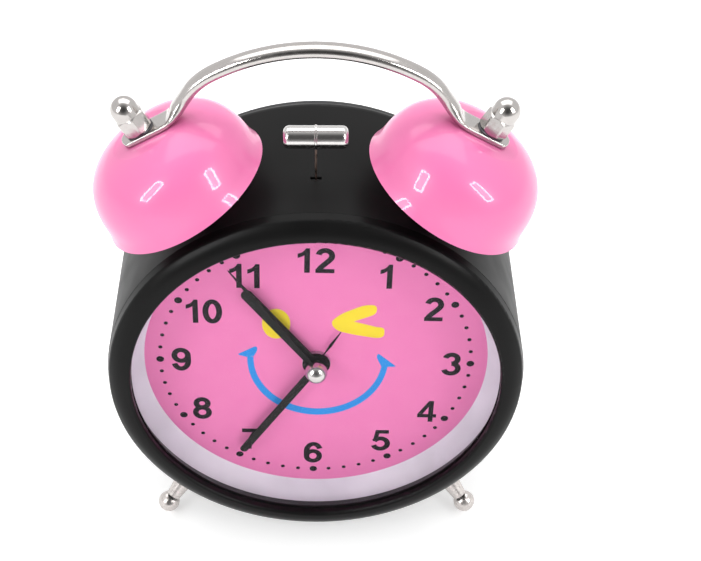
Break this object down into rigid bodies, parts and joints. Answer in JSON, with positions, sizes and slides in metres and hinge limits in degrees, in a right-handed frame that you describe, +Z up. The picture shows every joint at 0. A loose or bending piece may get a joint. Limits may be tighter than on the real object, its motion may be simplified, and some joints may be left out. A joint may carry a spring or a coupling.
{
  "type": "twin bell alarm clock",
  "caption": "Round leaning alarm clock with two bells, a hammer between them, an arched carrying handle, a smiling dial, ball feet and a battery quartz movement.",
  "frame": {"origin": "centre of the footprint on the floor: the middle of the bounding box's bottom face", "axes": "+Z up, the dial faces -Y and leans back 7 degrees, +X to the right of the dial"},
  "size_m": [0.1166, 0.0724, 0.1587],
  "materials": {
    "black_paint": "satin black enamel",
    "pink_paint": "glossy pink enamel",
    "chrome": "polished",
    "steel": "plain steel sheet and turned steel",
    "dark_steel": "blackened spring steel",
    "clear_lens": "clear polished lens",
    "white_plastic": "translucent white moulding",
    "pink_dial": "printed pink dial",
    "black_plastic": "fine grained black moulding",
    "ivory_plastic": "natural moulding",
    "hand_black": "black enamel",
    "battery_wrap": "plain printed sleeve",
    "copper": "enamelled copper wire",
    "circuit_green": "solder mask",
    "led_clear": "clear resin"
  },
  "bodies": {
    "case": {"drum_case": "black_paint", "front_bezel": "black_paint", "rear_cover": "black_plastic", "lens": "clear_lens", "reflector_ring": "white_plastic", "dial_disc": "pink_dial", "dial_carrier": "white_plastic", "light_leds": "led_clear", "light_switch_board": "circuit_green", "movement_front": "ivory_plastic", "movement_rear": "ivory_plastic", "dial_nut": "chrome", "stator": "steel", "stepper_coil": "copper", "circuit_board": "circuit_green", "quartz_crystal": "chrome", "left_bell": "pink_paint", "right_bell": "pink_paint", "bell_studs": "steel", "bell_spacers": "black_plastic", "stud_nuts": "steel", "lock_washers": "dark_steel", "cap_nuts": "chrome", "handle": "chrome", "hammer_pin": "steel", "hammer_bracket": "steel", "hammer_coils": "copper", "coil_cores": "steel", "left_foot": "chrome", "right_foot": "chrome", "foot_nuts": "steel", "cover_screws": "dark_steel", "lower_battery": "battery_wrap", "upper_battery": "battery_wrap", "battery_springs": "steel", "battery_contacts": "steel"},
    "seconds": {"seconds_wheel": "ivory_plastic", "second_hand": "hand_black", "hand_cap": "chrome"},
    "minutes": {"centre_wheel": "ivory_plastic", "minute_hand": "hand_black"},
    "hours": {"hour_wheel": "ivory_plastic", "hour_hand": "hand_black"},
    "alarm_set_hand": {"alarm_wheel": "ivory_plastic", "alarm_hand": "hand_black"},
    "alarm_setting": {"alarm_pinion": "ivory_plastic", "alarm_knob": "black_plastic"},
    "time_setting": {"minute_wheel": "ivory_plastic", "time_knob": "black_plastic"},
    "third": {"third_wheel": "ivory_plastic"},
    "intermediate": {"intermediate_wheel": "ivory_plastic"},
    "motor_rotor": {"rotor": "steel"},
    "hammer": {"hammer_lever": "ivory_plastic", "hammer_magnet": "dark_steel", "hammer_rod": "steel", "hammer_head": "chrome"},
    "switch": {"alarm_switch": "black_plastic"},
    "button": {"light_button": "black_plastic"},
    "door": {"battery_door": "black_plastic"}
  },
  "joints": [
    {"name": "seconds_turn", "type": "hinge", "parent": "case", "child": "seconds", "pos_m": [0, -0.00859, 0.06101], "axis": [0, 0.9925, -0.1219], "continuous": true},
    {"name": "minutes_turn", "type": "hinge", "parent": "case", "child": "minutes", "pos_m": [0, -0.00859, 0.06101], "axis": [0, 0.9925, -0.1219], "continuous": true},
    {"name": "hours_turn", "type": "hinge", "parent": "case", "child": "hours", "pos_m": [0, -0.00859, 0.06101], "axis": [0, 0.9925, -0.1219], "continuous": true},
    {"name": "third_turn", "type": "hinge", "parent": "case", "child": "third", "pos_m": [0, -0.00983, 0.05088], "axis": [0, 0.9925, -0.1219], "continuous": true},
    {"name": "intermediate_turn", "type": "hinge", "parent": "case", "child": "intermediate", "pos_m": [0, -0.00736, 0.07101], "axis": [0, 0.9925, -0.1219], "continuous": true},
    {"name": "rotor_turn", "type": "hinge", "parent": "case", "child": "motor_rotor", "pos_m": [0.0036, -0.0066, 0.0772], "axis": [0, 0.9925, -0.1219], "continuous": true},
    {"name": "time_set_turn", "type": "hinge", "parent": "case", "child": "time_setting", "pos_m": [-0.00953, -0.00792, 0.06647], "axis": [0, 0.9925, -0.1219], "continuous": true},
    {"name": "alarm_set_turn", "type": "hinge", "parent": "case", "child": "alarm_setting", "pos_m": [0.00953, -0.00792, 0.06647], "axis": [0, 0.9925, -0.1219], "continuous": true},
    {"name": "alarm_hand_turn", "type": "hinge", "parent": "case", "child": "alarm_set_hand", "pos_m": [0, -0.00859, 0.06101], "axis": [0, 0.9925, -0.1219], "continuous": true},
    {"name": "hammer_swing", "type": "hinge", "parent": "case", "child": "hammer", "pos_m": [0, -0.00355, 0.116], "axis": [0, 0.9925, -0.1219], "range_deg": [-23, 23], "stiffness_Nm_per_rad": 0.002},
    {"name": "alarm_switch_slide", "type": "slide", "parent": "case", "child": "switch", "axis": [1, 0, 0], "range_m": [0, 0.004]},
    {"name": "light_button_press", "type": "slide", "parent": "case", "child": "button", "axis": [0, -0.9925, 0.1219], "range_m": [0, 0.0015], "stiffness_N_per_m": 60},
    {"name": "battery_door_open", "type": "hinge", "parent": "case", "child": "door", "pos_m": [0, 0.01621, 0.02215], "axis": [-1, 0, 0], "range_deg": [0, 80]}
  ],
  "couplings": [
    {"joint": "minutes_turn", "follows": "seconds_turn", "ratio": 0.016667},
    {"joint": "hours_turn", "follows": "seconds_turn", "ratio": 0.0013889},
    {"joint": "third_turn", "follows": "seconds_turn", "ratio": -0.13333},
    {"joint": "intermediate_turn", "follows": "seconds_turn", "ratio": -6},
    {"joint": "rotor_turn", "follows": "seconds_turn", "ratio": 30},
    {"joint": "time_set_turn", "follows": "seconds_turn", "ratio": -0.0055556},
    {"joint": "alarm_hand_turn", "follows": "alarm_set_turn", "ratio": -0.25}
  ]
}
